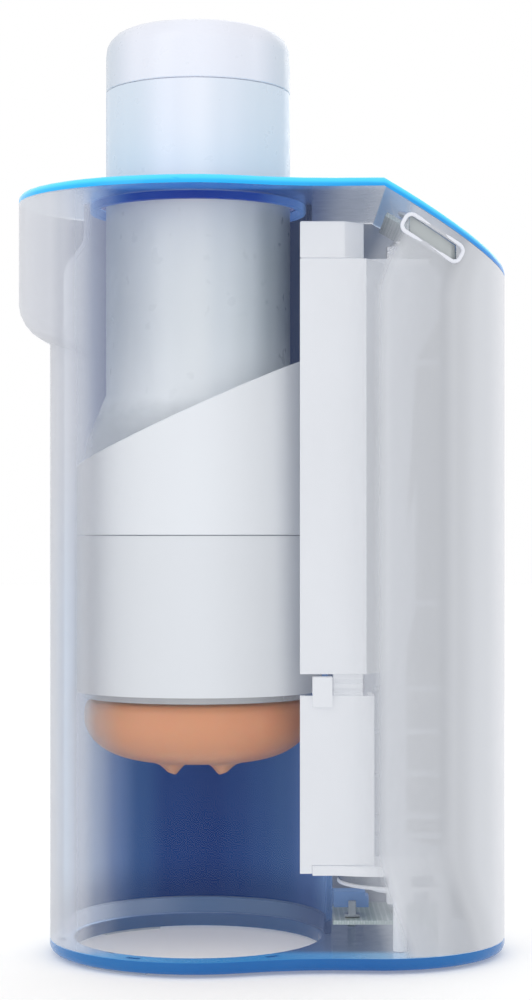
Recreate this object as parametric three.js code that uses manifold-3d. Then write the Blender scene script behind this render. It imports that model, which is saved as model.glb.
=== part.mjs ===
// Motorised linear-stroking massager: a capped canister with a soft sleeve, held in a gripper that a
// lead screw moves up and down inside a two-lobed housing. Millimetres, +Z up.
// Everything is laid out from the canister's vertical axis (u = 0, y = 0), with u towards the drive,
// and one group then moves the whole assembly so that the origin is the middle of its foot print.
import * as THREE from "three";
import { mergeVertices } from "three/addons/utils/BufferGeometryUtils.js";
import Module from "manifold-3d";

const wasm = await Module();
wasm.setup();

// ---------------------------------------------------------------- driving dimensions
const GAP = 0.3; // between pieces that touch
const SLIDE_GAP = 0.5; // between pieces that slide or turn on each other
const RAD = Math.PI / 180;

const CANISTER = {
  radius: 34, wall: 2, bulge: 8, wideTop: 181, kneeBulge: 6.7, knee: 189, shoulderTop: 205,
  length: 221.6, neck: 11, proudOfGripper: 2.4,
};
const CAP = { height: 22.2, round: 8.5, wall: 2.3 };
const SLEEVE = {
  bore: 8.5, cuffProud: 0.1, cuffHeight: 23.6, bowlDepth: 18, noseShare: 0.4, lobeRadius: 4.6, lobeStep: 4.2,
  topGap: 16.5, roof: 12, ventTaper: 6, vent: 2.5,
};
const GRIPPER = {
  bottom: 96.3, bandHeight: 56.7, bottomWall: 3.3, topWall: 2.2,
  topAtAxis: 198.7, topSlope: 24.4 * RAD, // the upper edge rises towards the drive
};
const BAYONET = { height: 4, reach: 1.4, halfAngle: 6 * RAD, turn: 30 * RAD, above: 9 };
const STROKE = { down: 54, up: 26, spare: 3 };

const LINER = { clearance: 1.9, wall: 1.9, neckClearance: 6.3, neckHeight: 11.7, flare: 13.7, slotGap: 2 };
const BASE = {
  thickness: 4.7, edge: 3, clearance: 3.7, footInset: 9,
  collarHeight: 5.9, collarWall: 2.6, collarStep: 0.9, pocketStep: 3.2, pocketDepth: 1.5,
};
const TOP = {
  thickness: 3.3, edge: 2.4, clearance: 3.1, collarHeight: 2.8, collarWall: 2.4, collarStep: 0.4,
};
const FOOT = { height: 1, sunk: 0.6, width: 3, start: 20, sweep: 30 };
const CASE = {
  wall: 2.2,
  height: 269.3, // between the two end plates
  chamberGap: 2.7, // outside the chamber liner
  rightRadius: 47.3, // lobe round the drive
  lobeStep: 11.2, // how far the right lobe's axis lies outside the left lobe
  waistFillet: 100, // concave radius between the lobes
};
const HEAD = { overhang: 11.5, drop: 45.5, slope: 26 * RAD, edge: 8 }; // bulge away from the drive
const PANEL = { past: 11.8, slope: 30 * RAD }; // starts this far past the left lobe; how steeply it falls

const SCREW = {
  radius: 4, fromLiner: 25, top: 261.6, bottom: 16, tipStep: 1.2, nutRadius: 5.9, nutHeight: 5.3,
};
const ROD = { offset: 6.9, y: 10.2, radius: 2.5 };
const COLUMN = { reach: 14, halfDepth: 17, wall: 2, mouth: 10, bottom: 37, top: 250.8, bevel: 4.4 };
const CARRIAGE = {
  bottom: 110, height: 40, back: 11.1, front: 11.5, halfDepth: 14.5, armHalf: 9, bushWall: 1.5,
  rim: 2.5, web: 3, flangeHeight: 5, // the arm's pockets leave these standing
};
const NUT = { wall: 2, rodAir: 0.56, below: 6 }; // rodAir: from the flange's rim to the guide rods
const COVER = {
  inboard: 12.5, width: 23.4, sideWidth: 33.4, air: 1.3, depth: 3.2, wall: 1.8,
  split: 96.6, gapHeight: 7.7, lowerExtra: 2.8, skirt: 3,
};
const HEAD_BLOCK = { height: 12.9, flat: 15.7, chamfer: 6, taper: 0.7, behind: 4, air: 1.9 };
const LATCH = { inset: 4.4, width: 7, proud: 1.8, lap: 3.8, depth: 4.5, rim: 1 };
const JOINER = { depth: 3.8, lap: 3, firstGroove: 1.2, grooveDepth: 0.9, grooveWidth: 1.4, pitch: 3 };
const RIB = { width: 1.4, proud: 1, fromEdge: 0.6 };
const PLATE = { thickness: 3.4, inset: 6.3, past: 19, bossRadius: 4, bossHeight: 4.7 };
const BEARING = { wall: 4, height: 3, plate: 2.2, seatWall: 1.6 };
const PULLEY = {
  radius: 21.4, motorRadius: 4.86, flange: 1.8, rim: 1, height: 7.6, beltWall: 1.2,
  holes: 5, holeCircle: 14.5, holeRadius: 2.6, hubRadius: 10.5, hubHeight: 3, nutRadius: 5.6, nutHeight: 5,
};
const MOTOR = {
  back: 6.6, y: 30, radius: 12, length: 58, shaft: 1.2, shaftInside: 11, boss: 4, endBoss: 2, spigot: 3,
};
const BOARD = { thickness: 1.5, air: 4.9, half: 20, bottom: 72, top: 225 }; // beside the drive column
const BASE_BOARD = { above: 7.2, length: 42, half: 20, legInset: 4, legRadius: 1.5 }; // over the base plate
const POST = { radius: 2.4, frontU: -2.1, frontY: 34, rearU: -29.6, rearY: 30.5, rightU: 14.6, rightY: 24.4 };
const LUG = {
  reach: 12.9, y: -8, halfDepth: 4, bottom: 17.8, height: 4, step: 1.7, stepInset: 1.2, // on the liner
};
const SENSOR = { u: 6.8, width: 2.7, depth: 2.7, top: 20.5, pad: 1 }; // stands on the level board
const BASE_SCREW = { shank: 1.2, head: 2.7, headHeight: 1.6, length: 16, slot: 0.8 };
const CHIP = { half: 7, bottom: 150, depth: 1.9 };
const CAPACITOR = { radius: 4.5, height: 14 };
const INLET = {
  back: 6.6, z: 16.5, radius: 4.8, socket: 3.5, halfWidth: 5.5, depth: 13, roof: 0.8, wallGap: 0.3,
  socketDepth: 9,
};
const WINDOW = { start: 8.7, end: 25.7, height: 6.2, below: 4.6, depth: 1.4 };
const BUTTON = {
  radius: 5, powerRadius: 6, stand: 0.9, flange: 1.3, flangeHeight: 1, travel: 0.8, spacing: 16,
  rowAt: 16.2, powerAt: 33.4, // from the panel's upper end, down the slope
};
const BUTTON_BOARD = { start: 6.5, end: 43.1, half: 22 };
const SWITCH = { half: 3, height: 1.2 };

// ---------------------------------------------------------------- places and levels that follow
const wideRadius = CANISTER.radius + CANISTER.bulge;
const kneeRadius = CANISTER.radius + CANISTER.kneeBulge;
const tubeBore = CANISTER.radius - CANISTER.wall;
const wideBore = wideRadius - CANISTER.wall;
const cuffRadius = wideRadius + SLEEVE.cuffProud;
const gripperBore = wideRadius + SLIDE_GAP;
const gripperOuter = gripperBore + GRIPPER.bottomWall;
const linerRadius = gripperOuter + LINER.clearance;
const linerOuter = linerRadius + LINER.wall;
const neckLinerRadius = CANISTER.radius + LINER.neckClearance;
const baseOpening = cuffRadius + BASE.clearance;
const topOpening = CANISTER.radius + TOP.clearance;
const leftRadius = linerOuter + CASE.chamberGap + CASE.wall;
const lobeSpacing = leftRadius + CASE.lobeStep;
const headReach = leftRadius + HEAD.overhang;
const rightReach = lobeSpacing + CASE.rightRadius;
const panelStart = leftRadius + PANEL.past;
const canisterX = -(rightReach - headReach) / 2; // centres the foot print on the origin

const screwU = linerOuter + SCREW.fromLiner;
const rodU = screwU + ROD.offset;
const columnLeft = screwU - COLUMN.reach;
const columnRight = screwU + COLUMN.reach;
const coverLeft = linerOuter - COVER.inboard;
const coverRight = coverLeft + COVER.width;
const coverSideEnd = coverLeft + COVER.sideWidth;
const coverBack = Math.sqrt((linerOuter + COVER.air) ** 2 - coverLeft ** 2); // clear of the round liner
const coverFront = coverBack + COVER.depth;
const motorU = screwU - MOTOR.back;
const inletU = screwU - INLET.back;
const boardU = columnRight + BOARD.air;

const seamLow = FOOT.height + BASE.thickness; // base plate to casing
const seamHigh = seamLow + CASE.height; // casing to top plate
const linerBottom = seamLow + GAP + BASE.collarHeight + GAP;
const linerTop = seamHigh - GAP;
const bandTop = GRIPPER.bottom + GRIPPER.bandHeight;
const canisterBottom = GRIPPER.bottom - CANISTER.proudOfGripper;
const canisterTop = canisterBottom + CANISTER.length; // where the end cap meets the tube
const columnPlateBottom = COLUMN.top + GAP;
const plateTop = COLUMN.bottom - GAP;
const plateBottom = plateTop - PLATE.thickness;
const pulleyTop = plateBottom - GAP;
const pulleyBottom = pulleyTop - PULLEY.height;
const boardLevel = seamLow + BASE_BOARD.above; // underside of the level board
const boardTop = boardLevel + BOARD.thickness + GAP;

// Height of the seam between casing and top plate, above u.
const seamAt = (u) => seamHigh - Math.max(0, u - panelStart) * Math.tan(PANEL.slope);

// ---------------------------------------------------------------- solids
function solid(geometry) {
  const bare = geometry.index ? geometry.toNonIndexed() : geometry.clone();
  for (const name of Object.keys(bare.attributes)) if (name !== "position") bare.deleteAttribute(name);
  const merged = mergeVertices(bare, 1e-4);
  const index = merged.index.array;
  const kept = [];
  for (let i = 0; i < index.length; i += 3) {
    const [a, b, c] = [index[i], index[i + 1], index[i + 2]];
    if (a !== b && b !== c && c !== a) kept.push(a, b, c);
  }
  return new wasm.Manifold(
    new wasm.Mesh({
      numProp: 3,
      vertProperties: merged.attributes.position.array,
      triVerts: new Uint32Array(kept),
    }),
  );
}

function geometryOf(made) {
  const mesh = made.getMesh();
  const positions = new Float32Array(mesh.numVert * 3);
  for (let i = 0; i < mesh.numVert; i++) {
    positions.set(mesh.vertProperties.subarray(i * mesh.numProp, i * mesh.numProp + 3), i * 3);
  }
  return new THREE.BufferGeometry()
    .setAttribute("position", new THREE.BufferAttribute(positions, 3))
    .setIndex(new THREE.BufferAttribute(mesh.triVerts, 1));
}

// Points of a round stretch, both ends included.
function arc(u, y, radius, from, to, steps) {
  return Array.from({ length: steps + 1 }, (_, i) => {
    const angle = from + ((to - from) * i) / steps;
    return new THREE.Vector2(u + radius * Math.cos(angle), y + radius * Math.sin(angle));
  });
}

// Upright prism over an outline of [u, y] pairs or Vector2 points.
function prism(outline, low, high, hole = null) {
  const points = outline.map((p) => (p.isVector2 ? p : new THREE.Vector2(...p)));
  const shape = new THREE.Shape(points);
  if (hole) shape.holes.push(new THREE.Path(hole));
  const geometry = new THREE.ExtrudeGeometry(shape, { depth: high - low, bevelEnabled: false });
  return solid(geometry.translate(0, 0, low));
}

function box(u0, u1, y0, y1, z0, z1) {
  const geometry = new THREE.BoxGeometry(u1 - u0, y1 - y0, z1 - z0);
  return solid(geometry.translate((u0 + u1) / 2, (y0 + y1) / 2, (z0 + z1) / 2));
}

function rod(u, y, z0, z1, radius, sides = 32) {
  const geometry = new THREE.CylinderGeometry(radius, radius, z1 - z0, sides).rotateX(Math.PI / 2);
  return solid(geometry.translate(u, y, (z0 + z1) / 2));
}

// Turned solid about an upright axis, from [radius, z] pairs: on the axis at both ends, or a closed ring.
function turned(profile, { u = 0, y = 0, sides = 32 } = {}) {
  const points = profile.map(([r, z]) => new THREE.Vector2(r, z));
  const ring = profile[0][0] > 0;
  if (ring) points.push(points[0].clone());
  const geometry = new THREE.LatheGeometry(points, sides).rotateX(Math.PI / 2);
  const made = solid(geometry.translate(u, y, 0));
  return made.volume() < 0 ? solid(flipped(geometry)) : made;
}

function flipped(geometry) {
  const copy = geometry.toNonIndexed();
  const position = copy.attributes.position;
  for (let i = 0; i < position.count; i += 3) {
    const [x, y, z] = [position.getX(i), position.getY(i), position.getZ(i)];
    position.setXYZ(i, position.getX(i + 1), position.getY(i + 1), position.getZ(i + 1));
    position.setXYZ(i + 1, x, y, z);
  }
  return copy;
}

const ringBetween = (inner, outer, z0, z1, options) =>
  turned([[inner, z0], [outer, z0], [outer, z1], [inner, z1]], options);

// Closed solid through outlines of equal point count, each lifted to its own height.
function loft(outlines, heightOf) {
  const count = outlines[0].length;
  const vertices = outlines.flatMap((ring, k) => ring.map((p) => [p.x, p.y, heightOf(k, p.x)]));
  const faces = THREE.ShapeUtils.triangulateShape(outlines[0], []);
  const last = (outlines.length - 1) * count;
  const triangles = [];
  for (const [a, b, c] of faces) triangles.push([a, c, b]);
  for (const [a, b, c] of THREE.ShapeUtils.triangulateShape(outlines.at(-1), [])) {
    triangles.push([last + a, last + b, last + c]);
  }
  for (let k = 0; k + 1 < outlines.length; k++) {
    for (let i = 0; i < count; i++) {
      const [a, b] = [k * count + i, k * count + ((i + 1) % count)];
      triangles.push([a, b, a + count], [b, b + count, a + count]);
    }
  }
  const geometry = new THREE.BufferGeometry();
  geometry.setAttribute("position", new THREE.Float32BufferAttribute(vertices.flat(), 3));
  geometry.setIndex(triangles.flat());
  return solid(geometry);
}

const addAll = (solids) => solids.reduce((sum, s) => sum.add(s));
const cutAll = (from, solids) => solids.reduce((rest, s) => rest.subtract(s), from);

// ---------------------------------------------------------------- outlines in plan
// The casing's two lobes and concave waist, moved inwards by inset.
function caseOutline(inset = 0) {
  const [left, right] = [leftRadius - inset, CASE.rightRadius - inset];
  const fillet = CASE.waistFillet + inset;
  const spacing = lobeSpacing;
  const fu = ((left + fillet) ** 2 - (right + fillet) ** 2 + spacing ** 2) / (2 * spacing);
  const fy = Math.sqrt((left + fillet) ** 2 - fu ** 2);
  const leftEnd = Math.atan2(fy, fu);
  const rightEnd = Math.atan2(fy, fu - spacing);
  return [
    ...arc(0, 0, left, leftEnd, 2 * Math.PI - leftEnd, 28),
    ...arc(fu, -fy, fillet, Math.PI - leftEnd, Math.PI - rightEnd, 4).slice(1, -1),
    ...arc(spacing, 0, right, -rightEnd, rightEnd, 24),
    ...arc(fu, fy, fillet, rightEnd - Math.PI, leftEnd - Math.PI, 4).slice(1, -1),
  ];
}

// The left lobe drawn out into the overhanging head: half an ellipse, closed by one that hides in the lobe.
function headOutline(inset = 0) {
  const [reach, half] = [headReach - inset, leftRadius - inset];
  return arc(0, 0, 1, 0, 2 * Math.PI, 48)
    .slice(0, -1)
    .map((p) => new THREE.Vector2(p.x * (p.x < 0 ? reach : half / 2), p.y * (half - GAP / 2)));
}

// The loop of a belt round two pulleys.
function beltLoop(extra) {
  const big = PULLEY.radius + extra;
  const small = PULLEY.motorRadius + extra;
  const [du, dy] = [-MOTOR.back, MOTOR.y];
  const lean = Math.atan2(dy, du);
  const open = Math.acos((big - small) / Math.hypot(du, dy));
  return [
    ...arc(screwU, 0, big, lean + open, lean - open + 2 * Math.PI, 28),
    ...arc(motorU, MOTOR.y, small, lean - open, lean + open, 10),
  ];
}

// ---------------------------------------------------------------- casing
const LOW = -10; // below everything
const HIGH = 400; // above everything
const WIDE = 200; // past everything to each side

// Everything above the seam line, moved up by lift.
function aboveSeam(lift = 0) {
  const points = [
    [-WIDE, seamHigh + lift], [panelStart, seamHigh + lift], [WIDE, seamAt(WIDE) + lift],
    [WIDE, HIGH], [-WIDE, HIGH],
  ];
  const shape = new THREE.Shape(points.map((p) => new THREE.Vector2(...p)));
  const geometry = new THREE.ExtrudeGeometry(shape, { depth: 2 * WIDE, bevelEnabled: false });
  return solid(geometry.rotateX(Math.PI / 2).translate(0, WIDE, 0));
}

// The head from its sloping, rounded underside up past the seam.
function headBlock(inset) {
  const steps = 4;
  const rise = inset / Math.cos(HEAD.slope);
  const edge = HEAD.edge - inset;
  const outlines = [];
  const lifts = [];
  for (let k = 0; k <= steps; k++) {
    const angle = (k / steps) * (Math.PI / 2);
    outlines.push(headOutline(inset + edge * (1 - Math.sin(angle))));
    lifts.push(edge * (1 - Math.cos(angle)));
  }
  outlines.push(headOutline(inset));
  lifts.push(CASE.height);
  const underside = (u) => seamHigh - HEAD.drop + rise - (u + headReach) * Math.tan(HEAD.slope);
  return loft(outlines, (k, u) => underside(u) + lifts[k]);
}

function casingBlock(inset, low) {
  return prism(caseOutline(inset), low, HIGH).add(headBlock(inset));
}

// A sector of a ring, such as a foot or a snap pocket.
function ringSector(u, inner, outer, from, to, z0, z1, steps = 6) {
  return prism([...arc(u, 0, outer, from, to, steps), ...arc(u, 0, inner, to, from, steps)], z0, z1);
}

// The window follows the falling seam; cut along y through the front wall.
function windowBlock(grow, y0, y1) {
  const top = (u) => seamAt(u) - WINDOW.below;
  const [from, to] = [panelStart + WINDOW.start, panelStart + WINDOW.end];
  const points = [
    [from - grow, top(from) + grow], [to + grow, top(to) + grow],
    [to + grow, top(to) - WINDOW.height - grow], [from - grow, top(from) - WINDOW.height - grow],
  ];
  const shape = new THREE.Shape(points.map((p) => new THREE.Vector2(...p)));
  const geometry = new THREE.ExtrudeGeometry(shape, { depth: y1 - y0, bevelEnabled: false });
  return solid(geometry.rotateX(Math.PI / 2).translate(0, y1, 0));
}

const shellBlock = casingBlock(0, seamLow + GAP)
  .subtract(casingBlock(CASE.wall, LOW))
  .subtract(aboveSeam(-GAP));
// A rod along y, its middle at y.
function rodAcross(radius, length, y, sides) {
  return solid(new THREE.CylinderGeometry(radius, radius, length, sides).translate(inletU, y, INLET.z));
}
const inletHole = rodAcross(INLET.radius + GAP, WIDE, WIDE / 2, 24);
const half = (side) => box(-WIDE, WIDE, side > 0 ? GAP / 2 : -WIDE, side > 0 ? WIDE : -GAP / 2, LOW, HIGH);
const windowHole = windowBlock(0, -CASE.rightRadius - 1, -CASE.rightRadius / 2);
const frontShell = shellBlock.intersect(half(-1)).subtract(windowHole);
const rearShell = shellBlock.intersect(half(1)).subtract(inletHole);
// The lens fills the window, a little behind the casing's outer face.
const windowLens = casingBlock(WINDOW.depth, LOW)
  .subtract(casingBlock(CASE.wall + 2 * WINDOW.depth, LOW))
  .intersect(windowBlock(-GAP, -CASE.rightRadius, -CASE.rightRadius / 2));

// ---------------------------------------------------------------- end plates and chamber
// A plate whose outer edge is rounded on the side away from the casing.
function edgedPlate(outlineAt, edge, heightOf) {
  const steps = 3;
  const rings = [{ inset: 0, lift: 0, drop: 0 }];
  for (let k = 0; k <= steps; k++) {
    const angle = (k / steps) * (Math.PI / 2);
    rings.push({ inset: edge * (1 - Math.cos(angle)), lift: 1, drop: edge * (1 - Math.sin(angle)) });
  }
  return loft(rings.map((r) => outlineAt(r.inset)), (k, u) => heightOf(rings[k], u));
}

// Everything under one of the two roofs, level or falling, with the roof's edge rounded.
function roofedBlock(outlineAt, falls) {
  const roof = (u) => seamHigh + TOP.thickness - (falls ? (u - panelStart) * Math.tan(PANEL.slope) : 0);
  return edgedPlate(outlineAt, TOP.edge, (ring, u) => (ring.lift ? roof(u) - ring.drop : LOW));
}

const underLevelRoof = roofedBlock(caseOutline, false).add(roofedBlock(headOutline, false));
const underFallingRoof = roofedBlock(caseOutline, true).add(box(-WIDE, 0, -WIDE, WIDE, LOW, HIGH));
const topSlabs = underLevelRoof.intersect(underFallingRoof).intersect(aboveSeam());

const basePlateBlock = edgedPlate(caseOutline, BASE.edge, (ring) =>
  ring.lift ? -FOOT.height - ring.drop : -seamLow,
).mirror([0, 0, 1]);

const feet = [
  { name: "front_left", u: 0, radius: baseOpening + 1, start: 90, turn: -1 },
  { name: "rear_left", u: 0, radius: baseOpening + 1, start: 90, turn: 1 },
  { name: "front_right", u: lobeSpacing, radius: CASE.rightRadius - BASE.footInset, start: 0, turn: -1 },
  { name: "rear_right", u: lobeSpacing, radius: CASE.rightRadius - BASE.footInset, start: 0, turn: 1 },
].map((foot) => ({ ...foot, middle: foot.turn * (foot.start + FOOT.start + FOOT.sweep / 2) * RAD }));
function footBlock(foot, grow, z0, z1) {
  const swing = (FOOT.sweep / 2) * RAD + grow / foot.radius;
  const [inner, outer] = [foot.radius - grow, foot.radius + FOOT.width + grow];
  return ringSector(foot.u, inner, outer, foot.middle - swing, foot.middle + swing, z0, z1);
}

const posts = [
  { name: "chassis_post_front_left", u: POST.frontU, y: -POST.frontY },
  { name: "chassis_post_rear_left", u: POST.rearU, y: POST.rearY },
  { name: "chassis_post_front_right", u: POST.rightU, y: -POST.rightY },
  { name: "chassis_post_rear_right", u: POST.rightU, y: POST.rightY },
].map((p) => ({ ...p, u: screwU + p.u }));
const screwTop = FOOT.height + BASE_SCREW.length;
const screwHeadTop = FOOT.height + BASE_SCREW.headHeight;
const snapPockets = [-115, -57, 57, 115, 170, 190].map((degrees) =>
  ringSector(0, baseOpening + BASE.pocketStep, leftRadius - CASE.wall - 1, (degrees - 3) * RAD,
    (degrees + 3) * RAD, seamLow - BASE.pocketDepth, HIGH, 2),
);
const basePlate = cutAll(basePlateBlock, [
  rod(0, 0, LOW, HIGH, baseOpening, 40),
  ...feet.map((foot) => footBlock(foot, GAP / 2, LOW, FOOT.height + FOOT.sunk)),
  ...posts.map((p) => rod(p.u, p.y, LOW, HIGH, BASE_SCREW.shank + GAP, 12)),
  ...posts.map((p) => rod(p.u, p.y, LOW, screwHeadTop + GAP, BASE_SCREW.head + GAP, 12)),
  ...snapPockets,
]);

const collarRing = (inner, wall, low, height) => ringBetween(inner, inner + wall, low, low + height);
const baseCollar = collarRing(
  baseOpening + BASE.collarStep, BASE.collarWall, seamLow + GAP, BASE.collarHeight,
);
const topCollar = collarRing(
  topOpening + TOP.collarStep, TOP.collarWall, seamHigh - GAP - TOP.collarHeight, TOP.collarHeight,
);

// The chamber wall runs up straight, draws in through an S and ends in a neck under the top plate.
function linerProfile() {
  const neckBottom = linerTop - LINER.neckHeight;
  const straightTop = neckBottom - LINER.flare;
  const inner = [[linerRadius, linerBottom]];
  const steps = 4;
  for (let k = 0; k <= steps; k++) {
    const share = k / steps;
    const ease = share * share * (3 - 2 * share);
    inner.push([linerRadius + (neckLinerRadius - linerRadius) * ease, straightTop + LINER.flare * share]);
  }
  inner.push([neckLinerRadius, linerTop]);
  const outer = inner.map(([r, z]) => [r + LINER.wall, z]).reverse();
  return [...outer, ...inner];
}
const slotBottom = CARRIAGE.bottom - STROKE.down - STROKE.spare;
const slotTop = CARRIAGE.bottom + CARRIAGE.height + STROKE.up + STROKE.spare;
const slotHalf = CARRIAGE.armHalf + LINER.slotGap;
const linerSlot = box(0, WIDE, -slotHalf, slotHalf, slotBottom, slotTop);
// A stepped lug on the liner's outside, under the screw pulley.
const lugFront = LUG.y - LUG.halfDepth;
const lugTop = LUG.bottom + LUG.height;
const lugBack = LUG.y + LUG.halfDepth;
const lugEnd = linerOuter + LUG.reach;
const linerLug = addAll([
  box(0, lugEnd, lugFront, lugBack, LUG.bottom, lugTop),
  box(0, lugEnd - LUG.stepInset, lugFront, lugBack, LUG.bottom, lugTop + LUG.step),
]).subtract(rod(0, 0, LOW, HIGH, linerOuter - LINER.wall / 2, 60));
const chamberLiner = turned(linerProfile(), { sides: 40 }).subtract(linerSlot).add(linerLug);

// ---------------------------------------------------------------- canister, sleeve and cap
const neckRadius = CANISTER.radius - CAP.wall - SLIDE_GAP;
const neckBore = neckRadius - CANISTER.wall;
const canisterWall = turned([
  [wideBore, canisterBottom], [wideRadius, canisterBottom],
  [wideRadius, CANISTER.wideTop], [kneeRadius, CANISTER.knee],
  [CANISTER.radius, CANISTER.shoulderTop],
  [CANISTER.radius, canisterTop], [neckRadius, canisterTop],
  [neckRadius, canisterTop + CANISTER.neck], [neckBore, canisterTop + CANISTER.neck],
  [neckBore, canisterTop - CANISTER.wall], [tubeBore, canisterTop - 2 * CANISTER.wall],
  [tubeBore, CANISTER.shoulderTop], [kneeRadius - CANISTER.wall, CANISTER.knee],
  [wideBore, CANISTER.wideTop],
]);
const lugBottom = canisterBottom + BAYONET.above;
const lugs = [90 * RAD, -90 * RAD].map((at) =>
  ringSector(0, wideRadius - 0.5, wideRadius + BAYONET.reach, at - BAYONET.halfAngle,
    at + BAYONET.halfAngle, lugBottom, lugBottom + BAYONET.height, 3),
);
const canisterTube = addAll([canisterWall, ...lugs]);

function sleeveProfile() {
  const cuffTop = canisterBottom - SLIDE_GAP;
  const cuffBottom = cuffTop - SLEEVE.cuffHeight;
  const edge = cuffRadius;
  const steps = 4;
  const bowl = [];
  for (let k = 0; k <= steps; k++) {
    const angle = (k / steps) * (Math.PI / 2);
    bowl.push([
      THREE.MathUtils.lerp(SLEEVE.noseShare, 1, Math.sin(angle)) * edge,
      cuffBottom + SLEEVE.bowlDepth * (1 - Math.cos(angle)),
    ]);
  }
  const fit = SLIDE_GAP;
  const sleeveTop = canisterTop - SLEEVE.topGap;
  const boreTop = sleeveTop - SLEEVE.roof - SLEEVE.ventTaper;
  return [
    [SLEEVE.bore, cuffBottom], ...bowl,
    [edge - 0.6, cuffTop - 1.5], [edge - 2.2, cuffTop], [wideBore - fit, cuffTop],
    [wideBore - fit, CANISTER.wideTop - 1], [kneeRadius - CANISTER.wall - fit, CANISTER.knee - 1],
    [tubeBore - fit, CANISTER.shoulderTop - 1],
    [tubeBore - fit, sleeveTop], [SLEEVE.vent, sleeveTop],
    [SLEEVE.vent, boreTop + SLEEVE.ventTaper], [SLEEVE.bore, boreTop],
  ];
}
// Four soft lobes stand round the bore's mouth.
const sleeveLobes = [45, 135, 225, 315].map((degrees) => {
  const lobe = new THREE.SphereGeometry(SLEEVE.lobeRadius, 10, 6);
  const reach = SLEEVE.bore + SLEEVE.lobeStep;
  const [u, y] = [reach * Math.cos(degrees * RAD), reach * Math.sin(degrees * RAD)];
  return solid(lobe.translate(u, y, canisterBottom - SLIDE_GAP - SLEEVE.cuffHeight));
});
const softSleeve = cutAll(addAll([turned(sleeveProfile()), ...sleeveLobes]), [
  rod(0, 0, LOW, canisterBottom, SLEEVE.bore, 32),
]);
const sealBottom = canisterTop + CANISTER.neck + GAP;
const neckSeal = ringBetween(neckBore, neckRadius, sealBottom, sealBottom + CANISTER.wall);

function capProfile() {
  const low = canisterTop + GAP;
  const high = low + CAP.height;
  const outer = arc(CANISTER.radius - CAP.round, high - CAP.round, CAP.round, 0, Math.PI / 2, 5);
  const innerRound = CAP.round - CAP.wall;
  const inner = arc(CANISTER.radius - CAP.round, high - CAP.round, innerRound, Math.PI / 2, 0, 4);
  return [
    [0, high], ...outer.reverse().map((p) => [p.x, p.y]),
    [CANISTER.radius, low], [CANISTER.radius - CAP.wall, low],
    ...inner.reverse().map((p) => [p.x, p.y]), [0, high - CAP.wall],
  ];
}
const endCap = turned(capProfile());

// ---------------------------------------------------------------- gripper
const gripperHigh = GRIPPER.topAtAxis + gripperOuter * Math.tan(GRIPPER.topSlope);
const gripperOuterAt = (z) => THREE.MathUtils.mapLinear(
  z, GRIPPER.bottom, gripperHigh, gripperOuter, gripperBore + GRIPPER.topWall,
);
// Tracks for the canister's two lugs: down to the open edge, then a turn.
const lugTracks = [90 * RAD, -90 * RAD].flatMap((at) => {
  const [inner, outer] = [wideRadius - 1, wideRadius + BAYONET.reach + SLIDE_GAP];
  const side = BAYONET.halfAngle + 1.5 * RAD;
  const top = lugBottom + BAYONET.height + SLIDE_GAP;
  return [
    ringSector(0, inner, outer, at - side, at + BAYONET.turn + side, lugBottom - SLIDE_GAP, top, 8),
    ringSector(0, inner, outer, at + BAYONET.turn - side, at + BAYONET.turn + side, LOW, top, 3),
  ];
});
const gripperBand = cutAll(
  turned([
    [gripperBore, GRIPPER.bottom], [gripperOuterAt(GRIPPER.bottom), GRIPPER.bottom],
    [gripperOuterAt(bandTop), bandTop], [gripperBore, bandTop],
  ], { sides: 40 }),
  lugTracks,
);
function slantedAbove() {
  const rise = (u) => GRIPPER.topAtAxis + u * Math.tan(GRIPPER.topSlope);
  const shape = new THREE.Shape([
    new THREE.Vector2(-WIDE, rise(-WIDE)),
    new THREE.Vector2(WIDE, rise(WIDE)),
    new THREE.Vector2(-WIDE, HIGH),
  ]);
  const geometry = new THREE.ExtrudeGeometry(shape, { depth: 2 * WIDE, bevelEnabled: false });
  return solid(geometry.rotateX(Math.PI / 2).translate(0, WIDE, 0));
}
const gripperCollar = turned([
  [gripperBore, bandTop + GAP], [gripperOuterAt(bandTop + GAP), bandTop + GAP],
  [gripperOuterAt(gripperHigh), gripperHigh], [gripperBore, gripperHigh],
], { sides: 40 }).subtract(slantedAbove());

// ---------------------------------------------------------------- carriage
const bushRadius = ROD.radius + SLIDE_GAP / 2 + CARRIAGE.bushWall;
const nutRadius = SCREW.radius + SLIDE_GAP / 2 + NUT.wall;
const nutFlangeRadius = Math.hypot(ROD.offset, ROD.y) - ROD.radius - NUT.rodAir;
const carriageTop = CARRIAGE.bottom + CARRIAGE.height;
const carriageLeft = screwU - CARRIAGE.back;
const rodPlaces = [
  { side: "front", y: -ROD.y },
  { side: "rear", y: ROD.y },
];
const carriageBody = cutAll(
  addAll([
    box(carriageLeft, screwU + CARRIAGE.front, -CARRIAGE.halfDepth, CARRIAGE.halfDepth,
      CARRIAGE.bottom, carriageTop),
    box(0, carriageLeft + 1, -CARRIAGE.armHalf, CARRIAGE.armHalf, CARRIAGE.bottom, carriageTop),
  ]),
  [
    rod(0, 0, LOW, HIGH, gripperOuterAt(GRIPPER.bottom) + GAP, 60),
    rod(screwU, 0, LOW, HIGH, nutRadius + GAP / 2, 24),
    ...rodPlaces.map((r) => rod(rodU, r.y, LOW, HIGH, bushRadius + GAP / 2, 24)),
    ...[1, -1].map((side) =>
      box(gripperOuter + CARRIAGE.rim, carriageLeft - CARRIAGE.rim, side > 0 ? CARRIAGE.web : -WIDE,
        side > 0 ? WIDE : -CARRIAGE.web, CARRIAGE.bottom + CARRIAGE.flangeHeight,
        carriageTop - CARRIAGE.flangeHeight),
    ),
  ],
);
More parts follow.
